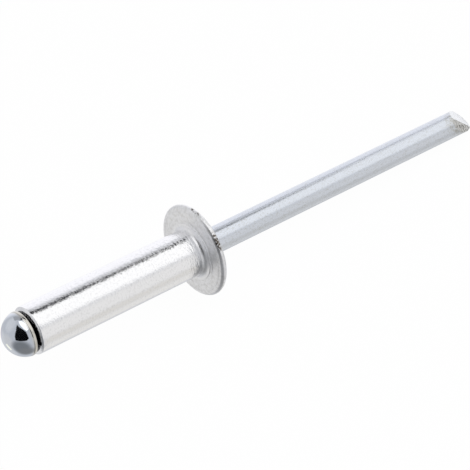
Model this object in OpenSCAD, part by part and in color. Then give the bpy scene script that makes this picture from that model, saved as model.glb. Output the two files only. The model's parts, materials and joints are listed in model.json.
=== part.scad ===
// Blind rivet with a domed flange, as it is sold and before it is set.
//
// Two pieces: a soft aluminium body, which is a hollow shank with a flange, and
// a plated steel mandrel, whose stem runs through the body's bore. Its head is
// drawn into the tail of the shank when the rivet is set, and its stem then
// breaks at a neck inside the bore.
//
// The rivet lies as it comes to rest, on the rim of its flange and the sheared
// end of its stem. The origin is below the middle of it, on the ground.

/* [Shank] */
// Diameter of the shank, which goes in a hole 0.1 larger
shank_d = 4; // [3.6:0.1:5]
// Length of the shank, from the flange's bearing face to the tail
shank_len = 16; // [8:0.5:25]
// Width of the bevel on the edge of the tail
tail_bevel_w = 0.25; // [0.1:0.05:0.35]
// Length of that bevel along the shank
tail_bevel_len = 0.15; // [0.1:0.05:0.5]
// Gap between the stem and the wall of the bore, all round
bore_clear = 0.08; // [0.04:0.01:0.12]

/* [Flange] */
// Diameter of the flange over its rim
flange_d = 7.9; // [7.4:0.05:9]
// Height of the flange's crown over its bearing face
flange_h = 1.2; // [1:0.05:1.6]
// Radius of the round rim
rim_r = 0.3; // [0.18:0.02:0.32]
// Height of the middle of the rim over the bearing face
rim_rise = 0.35; // [0.35:0.05:0.5]
// Width of the flat bearing face, outside the collar
bearing_w = 0.6; // [0.3:0.05:0.8]
// Width of the raised collar round the root of the shank
collar_w = 0.5; // [0.45:0.01:0.6]
// Height of that collar over the bearing face
collar_h = 0.06; // [0.02:0.02:0.14]
// Radius of the fillet between the shank and the collar
fillet_r = 0.4; // [0.1:0.05:0.4]

/* [Stem] */
// Diameter of the stem
stem_d = 2.24; // [2:0.02:2.4]
// Length of stem that stands out of the flange, from its bearing face
stem_out = 30.2; // [22:0.1:40]
// Slant of the sheared end, measured from a square cut
cut_slant = 51.6; // [20:0.2:58]
// How far the long side of the cut is turned from straight down
cut_turn = 17; // [-30:1:30]
// Length of the second, steeper face beside the cut
nick_len = 1.6; // [0.6:0.1:2]
// Depth of that face in the stem, where the cut crosses the stem's middle
nick_depth = 1; // [0.1:0.05:1.1]
// How far that face is turned from straight down
nick_turn = -138; // [-160:1:-60]

/* [Head of the mandrel] */
// Diameter of the head
head_d = 3.72; // [3.5:0.02:3.9]
// Height of its dome
dome_h = 1.66; // [1.2:0.02:1.74]
// Width of the band between the dome and the cone
band_h = 0.12; // [0.06:0.02:0.3]
// Draft of that band, which narrows towards the cone
band_draft = 5; // [2:1:12]
// Slope of the head's conical underside
seat_slope = 30; // [20:1:40]
// Width of the countersink in the tail that the head is seated in
seat_w = 0.14; // [0.06:0.02:0.2]
// Gap between the head and its countersink
seat_clear = 0.01; // [0.01:0.01:0.04]
// Distance from the tail to the middle of the break neck
neck_in = 2.2; // [1.4:0.1:4]
// Diameter of the break neck
neck_d = 1.5; // [1.2:0.05:1.8]
// Length of the break neck's waist
neck_len = 0.2; // [0.1:0.05:0.6]

/* [Hidden] */
$fn = 128;

// How far a cut runs on past what it cuts
spare = 1;

// Turns the seam of the body's round faces away from the line it rests on
seam_turn = -0.6;

// Half sizes that the profiles use
shank_r = shank_d / 2;
stem_r = stem_d / 2;
bore_r = stem_r + bore_clear;
head_r = head_d / 2;
neck_r = neck_d / 2;

// The bearing face lies between the collar and the sloped band
collar_r = shank_r + collar_w;
bearing_r = collar_r + bearing_w;

// Middle of the rim's circle, and the point where the sloped band touches it
rim_mid = flange_d / 2 - rim_r;
band_run = norm([rim_mid - bearing_r, rim_rise]);
band_slope = atan2(rim_rise, rim_mid - bearing_r) - asin(rim_r / band_run);
band_edge = [rim_mid + rim_r * sin(band_slope), rim_rise - rim_r * cos(band_slope)];

// The crown springs from the top of the rim
crown_h = flange_h - rim_rise - rim_r;
crown_r = (pow(rim_mid, 2) + pow(crown_h, 2)) / (2 * crown_h);

// The head's cone meets the countersink, but for the clearance square to it
seat_r = bore_r + seat_w;
cone_fall = tan(seat_slope);
cone_end = -shank_len - seat_clear / cos(seat_slope);
cone_root = cone_end + (seat_r - stem_r) * cone_fall;
band_top_r = head_r - band_h * tan(band_draft);
band_top = cone_end - (band_top_r - seat_r) * cone_fall;
band_bottom = band_top - band_h;
dome_r = (pow(head_r, 2) + pow(dome_h, 2)) / (2 * dome_h);
dome_mid = band_bottom - dome_h + dome_r;
dome_end = band_bottom - dome_h;

// The break neck's ends, with slopes of 45 degrees beside them
neck_low = neck_in - shank_len - neck_len / 2;
neck_high = neck_low + neck_len;
neck_slope_len = stem_r - neck_r;

// How far the long side of the cut stands out past its middle
cut_reach = stem_r * tan(cut_slant);
stem_blank = stem_out + cut_reach + spare;
cut_block = 2 * (stem_blank - stem_out) + 4 * stem_d;

// Depth below the axis of the lowest points of the rim and of the stem's end,
// when the stem's end is turned down by an angle
function rim_depth(tilt) = rim_mid * cos(tilt) + rim_rise * sin(tilt) + rim_r;
function tip_depth(tilt) = stem_out * sin(tilt) + norm([
    stem_r * cos(tilt) + cut_reach * cos(cut_turn) * sin(tilt),
    cut_reach * sin(cut_turn) * sin(tilt)
]);

// The rest tilt brings both to one level. Each pass turns by what is left.
function rest_tilt(tilt, passes) = passes == 0
    ? tilt
    : rest_tilt(tilt + asin((rim_depth(tilt) - tip_depth(tilt)) / stem_out), passes - 1);
tilt = rest_tilt(0, 12);
rest_height = rim_depth(tilt);

// Reach of the stem's end and of the dome along the ground, from the bearing face
tip_reach = stem_out * cos(tilt) + norm([
    cut_reach * cos(cut_turn) * cos(tilt) - stem_r * sin(tilt),
    cut_reach * sin(cut_turn) * cos(tilt)
]);
dome_reach = dome_r - dome_mid * cos(tilt);

// Lays the rivet, drawn upright on its bearing face, down along +X as it rests
module at_rest() {
    translate([(dome_reach - tip_reach) / 2, 0, rest_height])
        rotate([0, 90 + tilt, 0])
            children();
}

// Half profile of the shank, with its bevelled tail
module shank_profile() {
    polygon([
        [0, -shank_len],
        [shank_r - tail_bevel_w, -shank_len],
        [shank_r, tail_bevel_len - shank_len],
        [shank_r, rim_rise],
        [0, rim_rise]
    ]);
}

// Half profile of the collar and of the fillet below it
module collar_profile() {
    fillet_x = shank_r + fillet_r;
    fillet_z = -collar_h - fillet_r;
    translate([0, -collar_h])
        square([collar_r, collar_h + rim_rise]);
    difference() {
        translate([0, fillet_z])
            square([fillet_x, rim_rise - fillet_z]);
        translate([fillet_x, fillet_z])
            circle(r = fillet_r);
    }
}

// Half profile of the flange: flat face, sloped band, round rim and crown
module flange_profile() {
    polygon([
        [0, 0],
        [bearing_r, 0],
        band_edge,
        [rim_mid, rim_rise],
        [0, rim_rise]
    ]);
    translate([rim_mid, rim_rise])
        circle(r = rim_r);
    intersection() {
        translate([0, flange_h - crown_r])
            circle(r = crown_r);
        translate([0, rim_rise - rim_r / 2])
            square([rim_mid + rim_r / 4, flange_h]);
    }
}

// Half profile of the bore, with the countersink that the head is seated in
module bore_profile() {
    translate([0, -shank_len - spare])
        square([bore_r, shank_len + flange_h + 2 * spare]);
    polygon([
        [0, -shank_len - spare],
        [seat_r + spare / cone_fall, -shank_len - spare],
        [0, seat_r * cone_fall - shank_len]
    ]);
}

module rivet_body() {
    color("gainsboro")
        at_rest()
            rotate([0, 0, seam_turn])
                rotate_extrude()
                    difference() {
                        union() {
                            shank_profile();
                            collar_profile();
                            flange_profile();
                        }
                        bore_profile();
                    }
}

// Half profile of the mandrel before its head is rounded and its end is sheared
module mandrel_blank() {
    polygon([
        [0, dome_end - spare],
        [head_r + (dome_h + spare) * tan(band_draft), dome_end - spare],
        [band_top_r, band_top],
        [stem_r, cone_root],
        [stem_r, neck_low - neck_slope_len],
        [neck_r, neck_low],
        [neck_r, neck_high],
        [stem_r, neck_high + neck_slope_len],
        [stem_r, stem_blank],
        [0, stem_blank]
    ]);
}

// Half profile of what rounding the head takes off
module dome_waste() {
    difference() {
        translate([0, dome_end - 2 * spare])
            square([head_r + spare, dome_mid - dome_end + 2 * spare]);
        translate([0, dome_mid])
            circle(r = dome_r);
    }
}

// What the shear takes off the end of the stem
module sheared_off() {
    translate([0, 0, stem_out])
        rotate([0, -cut_slant, cut_turn])
            translate([-cut_block / 2, -cut_block / 2, 0])
                cube(cut_block);
}

// What the shear's other jaw takes off beside the cut
module nicked_off() {
    translate([0, 0, stem_out])
        rotate([0, 0, nick_turn])
            translate([stem_r - nick_depth, 0, 0])
                rotate([0, -atan(nick_depth / nick_len), 0])
                    translate([0, -cut_block / 2, -cut_block / 2])
                        cube(cut_block);
}

module mandrel() {
    color("lightsteelblue")
        at_rest()
            difference() {
                rotate_extrude()
                    difference() {
                        mandrel_blank();
                        dome_waste();
                    }
                sheared_off();
                nicked_off();
            }
}

rivet_body();
mandrel();
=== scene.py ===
import json
import math
import bmesh
import bpy
from mathutils import Matrix, Vector


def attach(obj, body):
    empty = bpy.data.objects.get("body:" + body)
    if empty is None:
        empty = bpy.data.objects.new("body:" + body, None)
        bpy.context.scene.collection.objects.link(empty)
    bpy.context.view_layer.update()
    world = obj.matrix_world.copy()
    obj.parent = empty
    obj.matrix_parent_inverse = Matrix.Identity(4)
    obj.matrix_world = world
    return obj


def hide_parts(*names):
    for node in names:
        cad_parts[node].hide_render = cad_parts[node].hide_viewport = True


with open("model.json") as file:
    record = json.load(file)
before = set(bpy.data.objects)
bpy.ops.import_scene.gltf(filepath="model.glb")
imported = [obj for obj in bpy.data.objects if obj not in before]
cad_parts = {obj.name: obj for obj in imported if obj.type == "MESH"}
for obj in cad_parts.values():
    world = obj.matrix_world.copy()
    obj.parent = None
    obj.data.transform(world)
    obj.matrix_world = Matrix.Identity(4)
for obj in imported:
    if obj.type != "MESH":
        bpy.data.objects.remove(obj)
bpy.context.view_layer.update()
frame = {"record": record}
scene = bpy.context.scene
scene.view_settings.view_transform = "Standard"
print("frame loaded")

# The rivet is drawn upright in millimetres, the middle of its bearing face at the
# origin and its tip up, and then laid down on the axis that the mounts give.
mm = 0.001
shankMiddle = -8.155    # height of the shank mount's middle in that drawing
mounts = {m["name"]: m for m in frame["record"]["mounts"]}
toTip = Vector(mounts["stem"]["axis"]).normalized()
bearingCentre = Vector(mounts["shank"]["pos_m"]) - toTip * shankMiddle * mm
layTurn = math.pi / 2 + math.asin(-toTip.z)
layDown = Matrix.Translation(bearingCentre) @ Matrix.Rotation(layTurn, 4, "Y") @ Matrix.Scale(mm, 4)

meshing = {
    "around": 240,                      # steps of a full turn
    "softening": 0.025,                 # how far plain corners are rounded
    "softSteps": 3,
    "mergeWithin": 1e-5,
    "sharpAngle": 40,                   # from here on an edge is shaded sharp
}


# Profiles

def startProfile(r, z):
    bm = bmesh.new()
    return bm, bm.verts.new((r, 0, z))


def lineTo(bm, last, r, z):
    vert = bm.verts.new((r, 0, z))
    bm.edges.new((last, vert))
    return vert


def arcTo(bm, last, r, z, angle, steps):
    # Turns the last point about (r, z), clockwise with r to the right and z up
    done = bmesh.ops.spin(bm, geom=[last], cent=(r, 0, z), axis=(0, 1, 0),
                          angle=math.radians(angle), steps=steps)
    return [e for e in done["geom_last"] if isinstance(e, bmesh.types.BMVert)][0]


def soften(bm, geom, affect):
    bmesh.ops.bevel(bm, geom=geom, offset=meshing["softening"], offset_type="OFFSET", affect=affect,
                    segments=meshing["softSteps"], profile=0.5, material=-1, clamp_overlap=True)


def splitLongEdges(bm, longest):
    for edge in [e for e in bm.edges if e.calc_length() > longest]:
        cuts = math.ceil(edge.calc_length() / longest) - 1
        bmesh.ops.subdivide_edges(bm, edges=[edge], cuts=cuts)


def turnProfile(bm):
    bmesh.ops.spin(bm, geom=bm.verts[:] + bm.edges[:], cent=(0, 0, 0), axis=(0, 0, 1),
                   angle=2 * math.pi, steps=meshing["around"], use_merge=True)
    bmesh.ops.remove_doubles(bm, verts=bm.verts, dist=meshing["mergeWithin"])
    bmesh.ops.recalc_face_normals(bm, faces=bm.faces)


def finishPiece(bm, name, node, materials):
    bm.normal_update()
    for face in bm.faces:
        face.smooth = True
    for edge in bm.edges:
        edge.smooth = edge.calc_face_angle(0) < math.radians(meshing["sharpAngle"])
    bmesh.ops.transform(bm, matrix=layDown, verts=bm.verts)
    mesh = bpy.data.meshes.new(name)
    bm.to_mesh(mesh)
    bm.free()
    for material in materials:
        mesh.materials.append(material)
    piece = bpy.data.objects.new(name, mesh)
    scene.collection.objects.link(piece)
    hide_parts(node)
    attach(piece, "root")
    print(name, "has", len(mesh.polygons), "faces")


# Materials

def addNode(tree, kind, inputs=None, **settings):
    node = tree.nodes.new("ShaderNode" + kind)
    for key, value in settings.items():
        setattr(node, key, value)
    for key, value in (inputs or {}).items():
        if isinstance(value, bpy.types.NodeSocket):
            tree.links.new(value, node.inputs[key])
        else:
            node.inputs[key].default_value = value
    return node


def newMaterial(name):
    material = bpy.data.materials.new(name)
    material.use_nodes = True
    material.node_tree.nodes.clear()
    return material, material.node_tree


def partCoords(tree):
    # Object coordinates in the upright drawing's directions, in millimetres
    coords = addNode(tree, "TexCoord").outputs["Object"]
    inputs = {"Vector": coords, "Location": bearingCentre, "Rotation": (0, layTurn, 0), "Scale": (mm, mm, mm)}
    return addNode(tree, "Mapping", inputs, vector_type="TEXTURE").outputs["Vector"]


def stretched(tree, coords, scale):
    return addNode(tree, "Mapping", {"Vector": coords, "Scale": scale}).outputs["Vector"]


def radiusOf(tree, coords):
    # Distance from the axis
    flat = stretched(tree, coords, (1, 1, 0))
    return addNode(tree, "VectorMath", {0: flat}, operation="LENGTH").outputs["Value"]


def heightOf(tree, coords):
    # Height over the bearing face
    return addNode(tree, "SeparateXYZ", {"Vector": coords}).outputs["Z"]


def sideOf(tree, coords, angle):
    # How far a point lies out from the axis towards one side
    angle = math.radians(angle)
    inputs = {0: coords, 1: (math.cos(angle), math.sin(angle), 0)}
    return addNode(tree, "VectorMath", inputs, operation="DOT_PRODUCT").outputs["Value"]


def noiseAt(tree, coords, scale, detail=2, roughness=0.5):
    # The scale is how many grains a millimetre has, all ways or along each axis
    if isinstance(scale, tuple):
        coords = stretched(tree, coords, scale)
        scale = 1
    inputs = {"Vector": coords, "Scale": scale, "Detail": detail, "Roughness": roughness}
    return addNode(tree, "TexNoise", inputs).outputs["Fac"]


def mapRange(tree, value, ends, toEnds=(0, 1)):
    inputs = {"Value": value, "From Min": ends[0], "From Max": ends[1],
              "To Min": toEnds[0], "To Max": toEnds[1]}
    return addNode(tree, "MapRange", inputs).outputs["Result"]


def between(tree, share, a, b):
    # A number that goes from a to b as the share goes from 0 to 1
    return mapRange(tree, share, (0, 1), (a, b))


def patchesAt(tree, coords, noise, levels):
    # Soft patches: a noise cut between two levels
    return mapRange(tree, noiseAt(tree, coords, *noise), levels)


def mathOf(tree, operation, a, b):
    return addNode(tree, "Math", {0: a, 1: b}, operation=operation).outputs["Value"]


def both(tree, a, b):
    return mathOf(tree, "MULTIPLY", a, b)


def mixed(tree, share, a, b):
    # A colour between two, each a fixed colour or a socket
    a, b = [(*color, 1) if isinstance(color, tuple) else color for color in (a, b)]
    return addNode(tree, "Mix", {0: share, 6: a, 7: b}, data_type="RGBA").outputs[2]


def bumped(tree, height, depth, strength=1, normal=None):
    inputs = {"Height": height, "Distance": depth * mm, "Strength": strength}
    if normal:
        inputs["Normal"] = normal
    return addNode(tree, "Bump", inputs).outputs["Normal"]


def finishMaterial(material, tree, color, roughness, normal):
    inputs = {"Base Color": color, "Metallic": 1, "Roughness": roughness, "Normal": normal}
    shader = addNode(tree, "BsdfPrincipled", inputs).outputs["BSDF"]
    addNode(tree, "OutputMaterial", {"Surface": shader})
    return material


# In the finishes below, lengths are in millimetres and angles in degrees. A noise is its
# scale, detail and roughness. A name that ends in From is where a finish begins and where
# it is full, as heights over the bearing face.
aluminium = {
    "color": (0.93, 0.93, 0.94),
    "worn": (0.84, 0.84, 0.85),         # in the low spots of the marks
    "blotched": (0.77, 0.77, 0.765),    # in blotches under the flange
    "paintedDarkReflection": (0.1, 0.08, 0.06),     # painted dark reflection, in specks on the rim
    "paintedShade": (0.012, 0.012, 0.016),     # painted shade round the mandrel's head

    "roughness": (0.07, 0.13),
    "filletRoughness": 0.4,
    "flangeRoughness": 0.42,
    "tailRoughness": 0.6,

    "shankFrom": (-0.5, -0.75),
    "filletFrom": (-0.52, -0.4),
    "flangeFrom": (-0.2, -0.1),
    "flangeOutFrom": (2.4, 2.55),       # the same outwards, past the collar
    "tailFrom": (-15.83, -15.86),
    "tailFlat": 1.74,                   # radius of the tail's face, inside its bevel

    # marks round the shank: grains around and along, and depth
    "marks": ((1.9, 5.6), 0.027),
    "fineMarks": ((5, 9), 0.014),
    "grain": ((12, 18), 0.003),
    "marksFrom": (-15, -5),
    "marksAtTail": 0.35,                # how deep the marks still are at the tail
    "fineMarksOffShank": 0.15,
    "wornLevels": (0.3, 0.5),

    "satin": ((1.1, 3), (0.3, 0.7)),
    "blotches": ((3, 4, 0.7), (0.45, 0.65)),
    "rings": 4,                         # turned rings under the flange
    "ringDepth": 0.12,

    # specks of painted dark reflection on the rim: angle and half width
    "spots": [(222, 13), (176, 8)],
    "spotsOut": 3.93,
    "spotsFrom": (0.62, 0.5),
    "flecks": ((4.5, 3, 0.7), (0.46, 0.54)),

    # how far out the painted shade reaches, against how far a point lies towards the side
    # where it comes to the tail's bevel, and how much its edge wanders
    "paintedShadeSide": 240,
    "paintedShadeReach": ((1, 1.6), (1.5, 1.8)),
    "paintedShadeEdge": ((2.5, 3), (0.3, 0.7)),
    "paintedShadeWander": 0.12,
}


def makeAluminium():
    a = aluminium
    material, tree = newMaterial("satinAluminium")
    coords = partCoords(tree)
    out = radiusOf(tree, coords)
    height = heightOf(tree, coords)
    onShank = mapRange(tree, height, a["shankFrom"])
    onFillet = mapRange(tree, height, a["filletFrom"])
    onFlange = both(tree, mapRange(tree, height, a["flangeFrom"]), mapRange(tree, out, a["flangeOutFrom"]))
    onTail = mapRange(tree, height, a["tailFrom"])

    towardsRoot = mapRange(tree, height, a["marksFrom"], (a["marksAtTail"], 1))
    strengths = {"marks": both(tree, onShank, towardsRoot),
                 "fineMarks": between(tree, onShank, a["fineMarksOffShank"], 1),
                 "grain": 1}
    layers = {}
    normal = None
    for key, strength in strengths.items():
        (around, along), depth = a[key]
        layers[key] = noiseAt(tree, coords, (around, around, along))
        normal = bumped(tree, layers[key], depth, strength, normal)
    outwards = addNode(tree, "CombineXYZ", {"X": out}).outputs["Vector"]
    normal = bumped(tree, noiseAt(tree, outwards, a["rings"]), a["ringDepth"], onFlange, normal)

    roughness = between(tree, patchesAt(tree, coords, *a["satin"]), *a["roughness"])
    roughness = between(tree, onFillet, roughness, a["filletRoughness"])
    roughness = between(tree, onFlange, roughness, a["flangeRoughness"])
    onTailFace = both(tree, onTail, mathOf(tree, "LESS_THAN", out, a["tailFlat"]))
    roughness = between(tree, onTailFace, roughness, a["tailRoughness"])

    color = mixed(tree, mapRange(tree, layers["fineMarks"], a["wornLevels"]), a["worn"], a["color"])
    blotches = both(tree, onFlange, patchesAt(tree, coords, *a["blotches"]))
    color = mixed(tree, blotches, color, a["blotched"])
    # Painted dark reflection: brown-black specks on the rim, only at the angles listed in spots
    flecks = both(tree, patchesAt(tree, coords, *a["flecks"]), mapRange(tree, height, a["spotsFrom"]))
    for angle, width in a["spots"]:
        ends = [a["spotsOut"] * math.cos(math.radians(w)) for w in (width, width / 2)]
        near = mapRange(tree, sideOf(tree, coords, angle), ends)
        color = mixed(tree, both(tree, near, flecks), color, a["paintedDarkReflection"])
    # Painted shade: the tail's face round the mandrel's head is darkened to near black, further out towards
    # the bevel
    reach = mapRange(tree, sideOf(tree, coords, a["paintedShadeSide"]), *a["paintedShadeReach"])
    wander = between(tree, patchesAt(tree, coords, *a["paintedShadeEdge"]), -a["paintedShadeWander"], a["paintedShadeWander"])
    inPaintedShade = mathOf(tree, "LESS_THAN", out, mathOf(tree, "ADD", reach, wander))
    color = mixed(tree, both(tree, onTail, inPaintedShade), color, a["paintedShade"])
    return finishMaterial(material, tree, color, roughness, normal)


steel = {
    "color": (0.695, 0.73, 0.79),
    "dull": (0.59, 0.605, 0.62),        # zinc that has dulled in spots
    "warm": (0.64, 0.6, 0.52),          # yellowish plating round the head's band
    "rubbed": (0.45, 0.44, 0.4),        # beside the tip's second face
    "paintedShade": (0.012, 0.012, 0.016),     # painted shade between the head and the body

    "headRoughness": (0.05, 0.1),
    "stemRoughness": (0.16, 0.26),
    "seatRoughness": 0.5,
    "clouds": ((1.3, 3), (0.3, 0.7)),   # between the two ends of each roughness

    "lines": ((8, 8, 0.9), 3, 0.6),     # drawn along the stem
    "lineDepth": 0.0025,
    "spots": ((7, 7, 5), 3, 0.65),
    "spotDepth": 0.004,
    "dullLevels": (0.5, 0.7),
    "rubbedLevels": (0.42, 0.6),
    "rubbedLeast": 0.2,

    # how much the head has of the spots' depth and of their dullness
    "headSpots": 0.12,
    "headDull": 0.3,

    "stemFrom": (-2, 0),
    "warmFrom": (-16.75, -16.5),
    "warmBackFrom": (-15, -16),         # the same from the other side
    "warmMost": 0.8,
    "seatFrom": (-16.31, -16.27),
    "seatBackFrom": (-13, -14),
    "rubbedFrom": (29.2, 30.3),         # along the slope of the second face
}


def makeSteel():
    a = steel
    material, tree = newMaterial("zincPlatedSteel")
    coords = partCoords(tree)
    height = heightOf(tree, coords)
    onStem = mapRange(tree, height, a["stemFrom"])
    warmTo = mapRange(tree, height, a["warmFrom"], (0, a["warmMost"]))
    onBand = both(tree, warmTo, mapRange(tree, height, a["warmBackFrom"]))
    inSeat = both(tree, mapRange(tree, height, a["seatFrom"]), mapRange(tree, height, a["seatBackFrom"]))

    spots = noiseAt(tree, coords, *a["spots"])
    normal = bumped(tree, noiseAt(tree, coords, *a["lines"]), a["lineDepth"], onStem)
    normal = bumped(tree, spots, a["spotDepth"], between(tree, onStem, a["headSpots"], 1), normal)

    clouds = patchesAt(tree, coords, *a["clouds"])
    onHead = between(tree, clouds, *a["headRoughness"])
    roughness = between(tree, onStem, onHead, between(tree, clouds, *a["stemRoughness"]))
    roughness = between(tree, inSeat, roughness, a["seatRoughness"])

    dulled = both(tree, mapRange(tree, spots, a["dullLevels"]), between(tree, onStem, a["headDull"], 1))
    color = mixed(tree, dulled, a["color"], a["dull"])
    color = mixed(tree, onBand, color, a["warm"])
    nickSlope = mandrel["nickLen"] / mandrel["nickDepth"]
    rise = mathOf(tree, "MULTIPLY", sideOf(tree, coords, mandrel["nickTurn"]), nickSlope)
    toNick = mathOf(tree, "ADD", height, rise)
    patchy = mapRange(tree, spots, a["rubbedLevels"], (a["rubbedLeast"], 1))
    color = mixed(tree, both(tree, mapRange(tree, toNick, a["rubbedFrom"]), patchy), color, a["rubbed"])
    # Painted shade: the head's cone and the stem inside the body are darkened to near black
    color = mixed(tree, inSeat, color, a["paintedShade"])
    return finishMaterial(material, tree, color, roughness, normal)


# The sheared end has a face that was cut and a second one that tore
shearing = {
    "tears": ((3.5, 3.5, 2), 3, 0.6),
    "fleckNoise": (3, 0.65),            # detail and roughness
    "darkLevels": (0.48, 0.64),
    "roughLevels": (0.35, 0.65),
    "fleckDepth": 0.25,                 # against the depth of the tears
}
sheared = {
    "color": (0.84, 0.86, 0.86),
    "dark": (0.76, 0.77, 0.77),
    "flecks": 7,                        # how many in a millimetre
    "roughness": (0.2, 0.3),
    "tearDepth": 0.015,
}
torn = {
    "color": (0.82, 0.81, 0.79),
    "dark": (0.12, 0.11, 0.09),
    "flecks": 3.8,
    "roughness": (0.28, 0.45),
    "tearDepth": 0.06,
}


def makeSheared(name, a):
    material, tree = newMaterial(name)
    coords = partCoords(tree)
    flecks = noiseAt(tree, coords, a["flecks"], *shearing["fleckNoise"])
    normal = bumped(tree, noiseAt(tree, coords, *shearing["tears"]), a["tearDepth"])
    normal = bumped(tree, flecks, a["tearDepth"] * shearing["fleckDepth"], 1, normal)
    color = mixed(tree, mapRange(tree, flecks, shearing["darkLevels"]), a["color"], a["dark"])
    roughness = mapRange(tree, flecks, shearing["roughLevels"], a["roughness"])
    return finishMaterial(material, tree, color, roughness, normal)


# Rivet body

body = {
    "shankR": 2.0, "shankLen": 16.0,
    "bevelW": 0.25, "bevelLen": 0.15,   # bevel on the edge of the tail
    "boreR": 1.2, "seatR": 1.34, "seatSlope": 30,
    "filletR": 0.4, "filletSteps": 12,
    "collarR": 2.5, "collarH": 0.06,
    "bearingR": 3.1,
    "rimMid": 3.65, "rimRise": 0.35, "rimR": 0.3, "rimSteps": 20,
    "flangeH": 1.2, "crownSteps": 16,
    "longest": 0.5,                     # edge of the profile
}


def makeBody(material):
    b = body
    run = b["rimMid"] - b["bearingR"]
    slope = math.atan2(b["rimRise"], run) - math.asin(b["rimR"] / math.hypot(run, b["rimRise"]))
    slopeEnd = (b["rimMid"] + b["rimR"] * math.sin(slope), b["rimRise"] - b["rimR"] * math.cos(slope))
    crownH = b["flangeH"] - b["rimRise"] - b["rimR"]
    crownR = (b["rimMid"] ** 2 + crownH ** 2) / (2 * crownH)
    crownAngle = math.degrees(math.asin(b["rimMid"] / crownR) - math.asin(b["boreR"] / crownR))
    seatDepth = (b["seatR"] - b["boreR"]) * math.tan(math.radians(b["seatSlope"]))
    filletZ = -b["collarH"] - b["filletR"]

    corners = []
    bm, first = startProfile(b["boreR"], seatDepth - b["shankLen"])
    last = lineTo(bm, first, b["seatR"], -b["shankLen"])
    corners.append(last)
    last = lineTo(bm, last, b["shankR"] - b["bevelW"], -b["shankLen"])
    corners.append(last)
    last = lineTo(bm, last, b["shankR"], b["bevelLen"] - b["shankLen"])
    corners.append(last)
    last = lineTo(bm, last, b["shankR"], filletZ)
    last = arcTo(bm, last, b["shankR"] + b["filletR"], filletZ, 90, b["filletSteps"])
    last = lineTo(bm, last, b["collarR"], -b["collarH"])
    corners.append(last)
    last = lineTo(bm, last, b["collarR"], 0)
    last = lineTo(bm, last, b["bearingR"], 0)
    corners.append(last)
    last = lineTo(bm, last, *slopeEnd)
    last = arcTo(bm, last, b["rimMid"], b["rimRise"], math.degrees(slope) - 180, b["rimSteps"])
    last = arcTo(bm, last, 0, b["flangeH"] - crownR, -crownAngle, b["crownSteps"])
    corners.append(last)
    bm.edges.new((last, first))
    corners.append(first)
    soften(bm, corners, "VERTICES")
    splitLongEdges(bm, b["longest"])
    turnProfile(bm)
    finishPiece(bm, "rivetBody", "rivet_body", [material])


# Mandrel

mandrel = {
    "stemR": 1.12, "stemOut": 30.2,
    "headR": 1.86, "domeH": 1.66, "domeSteps": 40,
    "bandH": 0.12, "bandDraft": 5,
    "bandW": 0.24,                      # with the band's raised edge on the dome
    "raised": 0.02,
    "seatClear": 0.01,                  # gap between the head's cone and its countersink
    "neckR": 0.75, "neckIn": 2.2, "neckLen": 0.2,
    "longest": 0.8,                     # edge of the profile
    "cutSlant": 51.6, "cutTurn": 17,    # the sheared end
    "nickDepth": 1.0, "nickLen": 1.6, "nickTurn": -138,   # the steeper face beside it
    "spare": 1,                         # how far the stem runs on past the cut before it is sheared
    "rimLen": 3, "rimAngle": 20,        # the cut's rims: how far down, and how sharp they are
}


def cutEnd(bm, point, normal, materialIndex):
    # Cuts off what lies beyond a plane and closes the end
    geom = bm.verts[:] + bm.edges[:] + bm.faces[:]
    done = bmesh.ops.bisect_plane(bm, geom=geom, dist=1e-6, plane_co=point, plane_no=normal,
                                  clear_outer=True)
    edges = [e for e in done["geom_cut"] if isinstance(e, bmesh.types.BMEdge)]
    for face in bmesh.ops.contextual_create(bm, geom=edges)["faces"]:
        face.material_index = materialIndex


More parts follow.
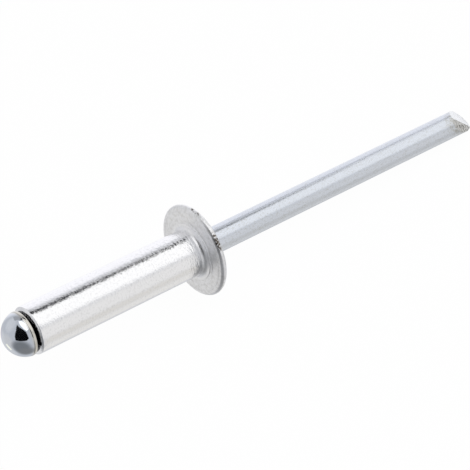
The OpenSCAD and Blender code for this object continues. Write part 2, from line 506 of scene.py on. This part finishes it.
def makeMandrel(materials):
    m = mandrel
    seatSlope = math.radians(body["seatSlope"])
    coneEnd = -body["shankLen"] - m["seatClear"] / math.cos(seatSlope)
    coneRoot = coneEnd + (body["seatR"] - m["stemR"]) * math.tan(seatSlope)
    bandTopR = m["headR"] - m["bandH"] * math.tan(math.radians(m["bandDraft"]))
    bandTop = coneEnd - (bandTopR - body["seatR"]) * math.tan(seatSlope)
    bandBottom = bandTop - m["bandH"]
    domeR = (m["headR"] ** 2 + m["domeH"] ** 2) / (2 * m["domeH"])
    domeEnd = bandBottom - m["domeH"]
    domeMid = domeEnd + domeR
    domeTop = bandTop - m["bandW"]
    domeAngle = math.degrees(math.acos((domeMid - domeTop) / domeR))
    neckLow = m["neckIn"] - body["shankLen"] - m["neckLen"] / 2
    neckHigh = neckLow + m["neckLen"]
    neckSlope = m["stemR"] - m["neckR"]
    blank = m["stemOut"] + m["stemR"] * math.tan(math.radians(m["cutSlant"])) + m["spare"]

    bm, last = startProfile(0, domeEnd)
    last = arcTo(bm, last, 0, domeMid, -domeAngle, m["domeSteps"])
    bandEdge = lineTo(bm, last, m["headR"], domeTop + m["raised"])
    last = lineTo(bm, bandEdge, m["headR"], bandBottom)
    coneEdge = lineTo(bm, last, bandTopR, bandTop)
    last = lineTo(bm, coneEdge, m["stemR"], coneRoot)
    last = lineTo(bm, last, m["stemR"], neckLow - neckSlope)
    last = lineTo(bm, last, m["neckR"], neckLow)
    last = lineTo(bm, last, m["neckR"], neckHigh)
    last = lineTo(bm, last, m["stemR"], neckHigh + neckSlope)
    last = lineTo(bm, last, m["stemR"], blank)
    lineTo(bm, last, 0, blank)
    soften(bm, [bandEdge, coneEdge], "VERTICES")
    splitLongEdges(bm, m["longest"])
    turnProfile(bm)

    end = Vector((0, 0, m["stemOut"]))
    cutNormal = Vector((0, 0, 1))
    cutNormal.rotate(Matrix.Rotation(math.radians(-m["cutSlant"]), 3, "Y"))
    cutNormal.rotate(Matrix.Rotation(math.radians(m["cutTurn"]), 3, "Z"))
    cutEnd(bm, end, cutNormal, 1)
    nickNormal = Vector((m["nickLen"], 0, m["nickDepth"])).normalized()
    nickPoint = Vector((m["stemR"] - m["nickDepth"], 0, 0))
    nickTurn = Matrix.Rotation(math.radians(m["nickTurn"]), 3, "Z")
    nickNormal.rotate(nickTurn)
    nickPoint.rotate(nickTurn)
    cutEnd(bm, end + nickPoint, nickNormal, 2)
    rims = [e for e in bm.edges if max(v.co.z for v in e.verts) > m["stemOut"] - m["rimLen"]
            and e.calc_face_angle(0) > math.radians(m["rimAngle"])]
    soften(bm, rims, "EDGES")
    bmesh.ops.recalc_face_normals(bm, faces=bm.faces)
    finishPiece(bm, "mandrel", "mandrel", materials)


makeBody(makeAluminium())
makeMandrel([makeSteel(), makeSheared("shearedSteel", sheared), makeSheared("tornSteel", torn)])


# Camera

view = {
    "place": (-0.07460197, -0.09018756, 0.11984582),
    "ahead": (0.44064841, 0.54849129, -0.71062387),
    "right": (0.77958077, -0.6263017, 0),
    "lens": 153.1915,
    "sensor": 36,
    "nearest": 0.01,
    "farthest": 20,
}


def makeCamera():
    data = bpy.data.cameras.new("camera")
    data.lens = view["lens"]
    data.sensor_width = view["sensor"]
    data.clip_start = view["nearest"]
    data.clip_end = view["farthest"]
    camera = bpy.data.objects.new("camera", data)
    ahead = Vector(view["ahead"]).normalized()
    right = Vector(view["right"]).normalized()
    turn = Matrix((right, right.cross(ahead), -ahead)).transposed()
    camera.matrix_world = Matrix.Translation(view["place"]) @ turn.to_4x4()
    scene.collection.objects.link(camera)
    scene.camera = camera


makeCamera()
print("camera placed")


# Studio

studio = {
    "floorSize": 3.0,
    "floorColor": (0.9, 0.9, 0.9),
    "floorWhite": 0.975,                # how much of the floor's look is plain white, to the camera
    "world": (0.65, 0.65, 0.65),        # light from all round
    "mirrored": (0.65, 0.66, 0.685),    # how metal sees the rest of the room
    "lampAt": (0.225, -0.08, 0.6),
    "lampSize": (0.95, 0.5),
    "lampPower": 1.65,
}
behind = Vector((0.626, 0.78, 0))       # the way the camera looks, along the floor
aside = Vector((0.78, -0.626, 0))       # to the camera's right
headAt = Vector((-0.024, 0, 0.004))     # the mandrel's head

# Brighter and darker parts of the room that only metal sees: azimuth, elevation,
# inner and outer spread in degrees, and colour
roomTones = [
    (125, 25, 10, 35, (0.78, 0.78, 0.79)),
    (134, -44, 16, 34, (0.785, 0.785, 0.785)),
    (48, -5, 26, 48, (1.029, 1.029, 1.066)),
    (160, -25, 10, 34, (0.748, 0.739, 0.729)),
    (-5, -10, 8, 22, (0.561, 0.561, 0.542)),
    (-10, 55, 25, 45, (1.075, 1.075, 1.075)),
    (-62, 4, 14, 34, (0.823, 0.818, 0.813)),
    (-62, -34, 4, 20, (0.729, 0.715, 0.687)),
    (-38, -62, 8, 24, (0.804, 0.795, 0.776)),
    (-142, -28, 20, 47, (0.234, 0.243, 0.252)),
    (-122, -56, 8, 34, (0.262, 0.262, 0.262)),
]

# Cards over the rivet: height, colour, and corners in metres to the camera's right and behind
cards = {
    "window": (0.59, (1.6, 1.6, 1.6), [
        (-0.29, 0.15), (-0.145, 0.144), (0.016, 0.011), (0.22, -0.31), (0.15, -0.42), (-0.04, -0.265),
        (-0.19, -0.076)]),
    "darkStrip": (0.598, (0.015, 0.015, 0.02), [
        (-0.2, 0.19), (0.1, 0.36), (0.24, 0.36), (0.19, 0.59), (-0.2, 0.59)]),
    "paleStrip": (0.6, (0.42, 0.42, 0.47), [
        (-0.1, 0.86), (0.35, 0.86), (0.35, 0.98), (-0.1, 0.98)]),
    "smudge": (0.6, (0.45, 0.45, 0.46), [
        (-1.1, 1.29), (-0.34, 0.59), (-0.08, 0.25), (-0.125, 0.155), (-0.34, 0.27), (-0.56, 0.31)]),
}

# Cards round the mandrel's head: distance, colour, and corners as azimuth and elevation
headCards = {
    "darkFront": (0.5, (0.003, 0.003, 0.004), [
        (140, 59), (172, 64), (-148, 65), (-112, 50), (-104, 17), (-115, 9), (-148, 6), (-166, 4),
        (-174, 19), (175, 44)]),
    "greyFront": (0.48, (0.2, 0.2, 0.26), [
        (-132, 53), (-117, 47), (-111, 25), (-123, 22), (-135, 37)]),
    "glint": (0.012, (1.3, 1.27, 1.05), [
        (137, -38), (142, -46), (152, -55), (166, -47), (159, -37), (150, -30)]),
}


def direction(az, el):
    az, el = math.radians(az), math.radians(el)
    return Vector((math.cos(el) * math.cos(az), math.cos(el) * math.sin(az), math.sin(el)))


def placeAt(right, back, up):
    return aside * right + behind * back + Vector((0, 0, up))


def lightPath(tree):
    return addNode(tree, "LightPath").outputs


def stage(name, bm, material):
    mesh = bpy.data.meshes.new(name)
    bm.to_mesh(mesh)
    bm.free()
    mesh.materials.append(material)
    thing = bpy.data.objects.new(name, mesh)
    scene.collection.objects.link(thing)
    return thing


def makeFloor():
    material, tree = newMaterial("paleFloor")
    plain = addNode(tree, "BsdfDiffuse", {"Color": (*studio["floorColor"], 1)}).outputs["BSDF"]
    white = addNode(tree, "Emission", {"Color": (1, 1, 1, 1), "Strength": 1}).outputs["Emission"]
    share = both(tree, lightPath(tree)["Is Camera Ray"], studio["floorWhite"])
    surface = addNode(tree, "MixShader", {0: share, 1: plain, 2: white}).outputs["Shader"]
    addNode(tree, "OutputMaterial", {"Surface": surface})
    bm = bmesh.new()
    bmesh.ops.create_grid(bm, x_segments=1, y_segments=1, size=studio["floorSize"] / 2)
    floor = stage("floor", bm, material)
    floor.visible_glossy = False        # metal mirrors the room's tones instead


def makeWorld():
    world = bpy.data.worlds.new("studioWorld")
    scene.world = world
    world.use_nodes = True
    tree = world.node_tree
    tree.nodes.clear()
    rays = lightPath(tree)
    toward = addNode(tree, "TexCoord").outputs["Generated"]
    tone = studio["mirrored"]
    for az, el, inner, outer, color in roomTones:
        facing = addNode(tree, "VectorMath", {0: toward, 1: direction(az, el)}, operation="DOT_PRODUCT")
        inputs = {"Value": facing.outputs["Value"],
                  "From Min": math.cos(math.radians(outer)), "From Max": math.cos(math.radians(inner))}
        near = addNode(tree, "MapRange", inputs, interpolation_type="SMOOTHSTEP")
        tone = mixed(tree, near.outputs["Result"], tone, color)
    tone = mixed(tree, rays["Is Glossy Ray"], studio["world"], tone)
    tone = mixed(tree, rays["Is Camera Ray"], tone, (1, 1, 1))
    light = addNode(tree, "Background", {"Color": tone, "Strength": 1}).outputs["Background"]
    addNode(tree, "OutputWorld", {"Surface": light})


def makeCard(name, corners, color):
    # A card that only metal sees, and that a second reflection passes through
    material, tree = newMaterial(name)
    glow = addNode(tree, "Emission", {"Color": (*color, 1), "Strength": 1}).outputs["Emission"]
    nothing = addNode(tree, "BsdfTransparent").outputs["BSDF"]
    passes = mathOf(tree, "GREATER_THAN", lightPath(tree)["Glossy Depth"], 1.5)
    surface = addNode(tree, "MixShader", {0: passes, 1: glow, 2: nothing}).outputs["Shader"]
    addNode(tree, "OutputMaterial", {"Surface": surface})
    bm = bmesh.new()
    bm.faces.new([bm.verts.new(corner) for corner in corners])
    card = stage(name, bm, material)
    card.visible_camera = False
    card.visible_diffuse = False
    card.visible_shadow = False
    card.visible_transmission = False


def makeLamp():
    data = bpy.data.lights.new("overhead", "AREA")
    data.shape = "RECTANGLE"
    data.size, data.size_y = studio["lampSize"]
    data.energy = studio["lampPower"]
    lamp = bpy.data.objects.new("overhead", data)
    lamp.location = placeAt(*studio["lampAt"])
    lamp.rotation_euler = (0, 0, math.atan2(aside.y, aside.x))
    lamp.visible_glossy = False
    scene.collection.objects.link(lamp)


makeFloor()
makeWorld()
makeLamp()
for name, (height, color, corners) in cards.items():
    makeCard(name, [placeAt(right, back, height) for right, back in corners], color)
for name, (distance, color, corners) in headCards.items():
    makeCard(name, [headAt + direction(az, el) * distance for az, el in corners], color)
print("studio set")
